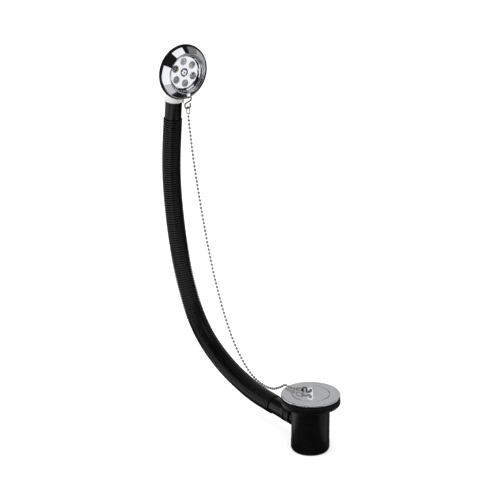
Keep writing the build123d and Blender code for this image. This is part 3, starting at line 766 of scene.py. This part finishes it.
# %% Seal with its lip
seal_r, seal_round = 35.5, 2.6
lip_skin = 0.15
lip_reach = 70
lip = tip_over(closed_shell(ring_tube("seal_lip", in_metres(
    [(rim_back, seal_r - lip_skin), (rim_back, seal_r)]
    + arc(0, bead_middle_r, seal_round, 0, lip_reach, 10)
    + arc(0, bead_middle_r, seal_round - lip_skin, lip_reach, 0, 10)
    + [(rim_back, seal_r - lip_skin)]
), chrome_around)))
seal = merged_copy("overflow_seal", "overflow_seal_lipped")
select_only(seal)
lip.select_set(True)
bpy.ops.object.join()
round_shading(seal, turned_angle)
dress(seal, "black_rubber")
print("seal faces", len(seal.data.polygons))

# %% [markdown]
# ## Pieces kept as they are
#
# The bushes, the washer and the nut sit inside the fitting. They keep their CAD mesh, which is never changed,
# and only their material slot gets the new finish.

# %% Finishes on kept nodes
kept_nodes = {"body_insert": "brass", "elbow_insert": "brass", "plug_washer": "steel", "plug_nut": "steel"}
for node, slot in kept_nodes.items():
    nodes[node].data.materials.clear()
    nodes[node].data.materials.append(finishes[slot])
print("kept", list(kept_nodes))

# %% [markdown]
# ## The waste body and its thread
#
# A trap screws onto the body's tail, so the tail has a pipe thread. It could be a bump in the material, but
# the crests show against the white table, so it is cut. A three-sided profile is turned round the tail by a
# Screw modifier, one pitch down for each turn, and a Boolean takes it out of a copy of the CAD body. The
# cutter is turned by two degrees first, so that none of its corners meets one of the body's.

# %% Thread cutter
thread_r = 23.7 * mm
thread_top = -58.2 * mm
thread_pitch = 2.309 * mm
thread_depth = 1.0 * mm
thread_turns = 5
thread_steps = 48
thread_start = radians(2)

bpy.ops.object.select_all(action="DESELECT")
bpy.ops.mesh.primitive_circle_add(vertices=3, radius=thread_depth, fill_type="NOTHING")
cutter = bpy.context.object
cutter.name = "thread_cutter"
cutter.rotation_euler = (pi / 2, -pi / 2, 0)
cutter.location = (thread_r, 0, thread_top)
bpy.ops.object.transform_apply(location=True, rotation=True, scale=False)
wind = cutter.modifiers.new("turns", "SCREW")
wind.axis = "Z"
wind.screw_offset = -thread_pitch
wind.iterations = thread_turns
wind.steps = thread_steps
wind.render_steps = thread_steps
bpy.ops.object.modifier_apply(modifier=wind.name)
closed_shell(cutter)
cutter.rotation_euler = (0, 0, thread_start)
bpy.ops.object.transform_apply(location=False, rotation=True, scale=False)
print("cutter faces", len(cutter.data.polygons), "box", [round(v / mm, 2) for v in cutter.dimensions])

# %% Threaded body
body = merged_copy("waste_body", "waste_body_threaded")
combine(body, cutter, "DIFFERENCE")
round_shading(body, turned_angle)
dress(body, "black_plastic")
print("body faces", len(body.data.polygons))

# %% [markdown]
# ## The hose
#
# The hose is blow-moulded: some 150 fine ribs between two plain cuffs. Drawing it bent would be hard, so it
# is built straight and then laid along its route by a Curve modifier. The route comes first, because it gives
# the hose its length. A NURBS curve passes smoothly near its points, as a stiff hose does.

# %% Route of the hose
hose_route = [
    (-0.29645, 0, 0.30103),
    (-0.29875, 0, 0.27915),
    (-0.3024, 0, 0.246),
    (-0.3046, 0, 0.216),
    (-0.3038, 0, 0.186),
    (-0.2996, 0, 0.153),
    (-0.2916, 0, 0.112),
    (-0.2764, 0, 0.062),
    (-0.244, 0, 0.007),
    (-0.190, 0, -0.0248),
    (-0.125, 0, -0.040),
    (-0.082, 0, -0.041),
    (-0.042, 0, -0.041),
]
route_order, route_steps = 3, 32


def smooth_route(name, route):
    """An open NURBS curve with these control points, its points in order, and its length."""
    data = bpy.data.curves.new(name, "CURVE")
    data.dimensions = "3D"
    data.resolution_u = route_steps
    spline = data.splines.new("NURBS")
    spline.points.add(len(route) - 1)
    for control, place in zip(spline.points, route):
        control.co = (*place, 1)
    spline.order_u = route_order
    spline.use_endpoint_u = True
    curve = bpy.data.objects.new(name, data)
    bpy.context.scene.collection.objects.link(curve)
    mesh = bpy.data.meshes.new_from_object(curve)
    points = [vertex.co.copy() for vertex in mesh.vertices]
    bpy.data.meshes.remove(mesh)
    length = sum((b - a).length for a, b in zip(points, points[1:]))
    print(name, "points", len(points), "length", round(length, 4))
    return curve, points, length


hose_curve, _, hose_length = smooth_route("hose_line", hose_route)

# %% [markdown]
# The ribs are rings pulled out of a circle, as the chrome was. One rib has a flat crest with a chamfer on
# each side and steep flanks. An Array modifier repeats it and merges each copy's first ring with the last
# ring of the copy before it. The pitch is trimmed a little, so that whole ribs fill the length between the
# cuffs.

# %% Ribs
hose_around = 40
crest_r = 12.1 * mm
shoulder_r = 11.85 * mm
trough_r = 10.6 * mm
rib_pitch = 3.15 * mm
top_cuff = 24 * mm
bottom_cuff = 32 * mm
ring_gap = 0.00001

rib_count = round((hose_length - top_cuff - bottom_cuff) / rib_pitch)
rib = (hose_length - top_cuff - bottom_cuff) / rib_count
rib_rings = [
    # share of a rib's length, radius
    (0, trough_r),
    (0.10, trough_r),
    (0.20, shoulder_r),
    (0.28, crest_r),
    (0.72, crest_r),
    (0.80, shoulder_r),
    (0.90, trough_r),
    (1, trough_r),
]
rib_profile = [(top_cuff + share * rib, radius) for share, radius in rib_rings]
ribs = ring_tube("hose_ribs", rib_profile, hose_around)
repeat = ribs.modifiers.new("ribs", "ARRAY")
repeat.count = rib_count
repeat.use_relative_offset = False
repeat.use_constant_offset = True
repeat.constant_offset_displace = (0, 0, rib)
repeat.use_merge_vertices = True
repeat.merge_threshold = ring_gap
bpy.ops.object.modifier_apply(modifier=repeat.name)
print("ribs", rib_count, "pitch", round(rib / mm, 3), "mm")

# %% [markdown]
# The upper one has a thin lip at its mouth, the lower one a wider band and then a narrow end. The bore is cut
# into many short rings, because a long straight face could not follow the bend.

# %% Cuffs and bore
hose_bore_r = 8.4 * mm
cuff_r = 10.8 * mm
cuff_lip_r = 11.2 * mm
end_r = 9.8 * mm
cuff_slope = 1.0 * mm
lip_chamfer, lip_width, lip_slope = 0.5 * mm, 2.0 * mm, 0.8 * mm
band_start, band_end = hose_length - 8 * mm, hose_length - 1.5 * mm
band_round, band_rise, band_fall = 0.6 * mm, 0.3 * mm, 0.4 * mm
bore_steps = 120

upper = ring_tube("hose_top", [
    (0, hose_bore_r),
    (0, cuff_lip_r - lip_chamfer),
    (lip_chamfer, cuff_lip_r),
    (lip_width, cuff_lip_r),
    (lip_width + lip_slope, cuff_r),
    (top_cuff - cuff_slope, cuff_r),
    (top_cuff, trough_r),
], hose_around)
foot = hose_length - bottom_cuff
lower = ring_tube("hose_foot", [
    (foot, trough_r),
    (foot + cuff_slope, cuff_r),
    (band_start - lip_slope, cuff_r),
    (band_start, cuff_lip_r - band_rise),
    (band_start + band_round, cuff_lip_r),
    (band_end - band_round, cuff_lip_r),
    (band_end, cuff_lip_r - band_fall),
    (band_end, end_r),
    (hose_length, end_r),
    (hose_length, hose_bore_r),
], hose_around)
bore_rings = [(hose_length * step / bore_steps, hose_bore_r) for step in range(bore_steps + 1)]
bore = ring_tube("hose_bore", bore_rings, hose_around)
print("cuffs", round(top_cuff / mm, 1), "and", round(bottom_cuff / mm, 1), "mm")

# %% [markdown]
# The four tubes are joined into one closed shell. Its doubled rings are merged and its faces turned outwards
# before the bend, because that is when the shell is simplest.

# %% One shell
select_only(ribs)
for tube in (upper, lower, bore):
    tube.select_set(True)
bpy.ops.object.join()
hose = bpy.context.object
hose.name = "corrugated_hose"
bpy.ops.object.mode_set(mode="EDIT")
bpy.ops.mesh.select_all(action="SELECT")
bpy.ops.mesh.remove_doubles(threshold=ring_gap)
bpy.ops.mesh.normals_make_consistent(inside=False)
bpy.ops.object.mode_set(mode="OBJECT")
print("straight hose points", len(hose.data.vertices))

# %% [markdown]
# The crests of the ribs get a painted highlight and the grooves painted shade, by a glossy coat on the crests
# only and none in the grooves. While the hose is straight, a point's distance from the axis tells a crest
# from a groove, so each point gets its painted shine now, as an attribute that the bend carries along. The
# hose's finish reads it as the weight of its coat.

# %% Painted shine of the ribs
crest_painted_highlight, cuff_painted_shine, groove_painted_shade = 1.0, 0.64, 0.0
painted_shine_roughness = 0.29
painted_shine_ior = 1.64
painted_shine = hose.data.attributes.new("painted_shine", "FLOAT", "POINT")
# Coat weight per point: a painted highlight on the rib crests, painted shade (no coat) in the grooves, a
# plain coat on the cuffs.
for vertex, value in zip(hose.data.vertices, painted_shine.data):
    ribbed = top_cuff <= vertex.co.z <= foot
    crest = hypot(vertex.co.x, vertex.co.y) > cuff_lip_r
    value.value = (crest_painted_highlight if crest else groove_painted_shade) if ribbed else cuff_painted_shine
hose_tree = finishes["hose_plastic"].node_tree
reader = hose_tree.nodes.new("ShaderNodeAttribute")
reader.attribute_name = painted_shine.name
hose_shader = hose_tree.nodes["Principled BSDF"]
hose_shader.inputs["Coat Roughness"].default_value = painted_shine_roughness
hose_shader.inputs["Coat IOR"].default_value = painted_shine_ior
hose_tree.links.new(reader.outputs["Fac"], hose_shader.inputs["Coat Weight"])
print("painted_shine", crest_painted_highlight, cuff_painted_shine, groove_painted_shade)

# %% [markdown]
# The Curve modifier moves each point of the straight hose to the same length along the route. Then only flat
# edges are shaded smooth, so that the crests of the ribs keep their edges.

# %% Bent hose
hose_angle = 30
lay = hose.modifiers.new("along_the_route", "CURVE")
lay.object = hose_curve
lay.deform_axis = "POS_Z"
bpy.ops.object.modifier_apply(modifier=lay.name)
bpy.data.objects.remove(hose_curve)
bpy.ops.object.shade_smooth_by_angle(angle=radians(hose_angle))
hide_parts("overflow_hose")
dress(hose, "hose_plastic")
print("hose faces", len(hose.data.polygons))

# %% [markdown]
# ## The ball chain
#
# A ball chain is hollow balls with short pins between them, so it bends every way but never knots. Its route
# hangs from the overflow, dips below the waste's flange and climbs over its rim to the plug. The route alone
# gives the chain's length, and so how many balls it has.

# %% Route of the chain
chain_route = [
    (-0.2652, 0.0012, 0.28935),
    (-0.259, 0.001, 0.253),
    (-0.2455, 0.0002, 0.2045),
    (-0.229, -0.0008, 0.1535),
    (-0.2095, -0.002, 0.102),
    (-0.1845, -0.0037, 0.0535),
    (-0.153, -0.0059, 0.0125),
    (-0.118, -0.0084, -0.0108),
    (-0.088, -0.0104, -0.016),
    (-0.062, -0.0122, -0.0122),
    (-0.045, -0.0134, -0.0030),
    (-0.0352, -0.0132, 0.0046),
    (-0.0294, -0.0132, 0.0044),
    (-0.0222, -0.0128, 0.0044),
    (-0.01582, -0.01136, 0.00507),
]
chain_curve, chain_points, chain_length = smooth_route("chain_line", chain_route)
bpy.data.objects.remove(chain_curve)


def along_chain(distance):
    """The point and the direction of the chain at this length from its upper end."""
    for start, end in zip(chain_points, chain_points[1:]):
        run = (end - start).length
        if distance <= run:
            break
        distance -= run
    return start.lerp(end, distance / run), (end - start).normalized()


# %% [markdown]
# One ball is modelled with half a pin at each end, pulled out of the ball's poles: the faces round a pole are
# extruded, pressed flat to the pin's width, and extruded again to the middle between two balls. It stays at a
# few dozen faces, because the chain has many of them.

# %% One ball with its pins
ball_r = 1.65 * mm
pin_r = 0.35 * mm
ball_pitch = 4.92 * mm
ball_segments, ball_rings = 12, 8
pole_slope = 0.9  # faces whose normal leans this much along the axis lie round a pole
pole_height = ball_r * 0.92
ball_count = round(chain_length / ball_pitch)
ball_step = chain_length / ball_count

bpy.ops.object.select_all(action="DESELECT")
bpy.ops.mesh.primitive_uv_sphere_add(segments=ball_segments, ring_count=ball_rings, radius=ball_r)
ball = bpy.context.object
ball.name = "chain_ball"
for side in (1, -1):
    bpy.ops.object.mode_set(mode="EDIT")
    bpy.ops.mesh.select_all(action="DESELECT")
    bpy.ops.object.mode_set(mode="OBJECT")
    for face in ball.data.polygons:
        face.select = face.normal.z * side > pole_slope
    bpy.ops.object.mode_set(mode="EDIT")
    bpy.ops.mesh.extrude_region_move(TRANSFORM_OT_translate={"value": (0, 0, 0)})
    flat = pin_r / (ball_r * sin(pi / ball_rings))
    bpy.ops.transform.resize(value=(flat, flat, 0), center_override=(0, 0, side * pole_height))
    pin = side * (ball_step / 2 - pole_height)
    bpy.ops.mesh.extrude_region_move(TRANSFORM_OT_translate={"value": (0, 0, pin)})
    bpy.ops.object.mode_set(mode="OBJECT")
print("balls", ball_count, "pitch", round(ball_step / mm, 3), "mm, faces each", len(ball.data.polygons))

# %% [markdown]
# Copies of the ball then stand along the route, one pitch apart, each turned along the curve.

# %% Chain
ball_angle = 40
beads = []
for number in range(ball_count):
    place, heading = along_chain((number + 0.5) * ball_step)
    bead = ball.copy()
    bead.data = ball.data.copy()
    bead.location = place
    bead.rotation_euler = heading.to_track_quat("Z", "Y").to_euler()
    bpy.context.scene.collection.objects.link(bead)
    beads.append(bead)
bpy.data.objects.remove(ball)
bpy.ops.object.select_all(action="DESELECT")
for bead in beads:
    bead.select_set(True)
chain = beads[0]
bpy.context.view_layer.objects.active = chain
bpy.ops.object.transform_apply(location=True, rotation=True, scale=True)
bpy.ops.object.join()
chain.name = "ball_chain_round"
bpy.ops.object.shade_smooth_by_angle(angle=radians(ball_angle))
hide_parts("ball_chain")
dress(chain, "chain_metal", "chain_ball")
print("chain faces", len(chain.data.polygons), "length", round(chain_length, 4))
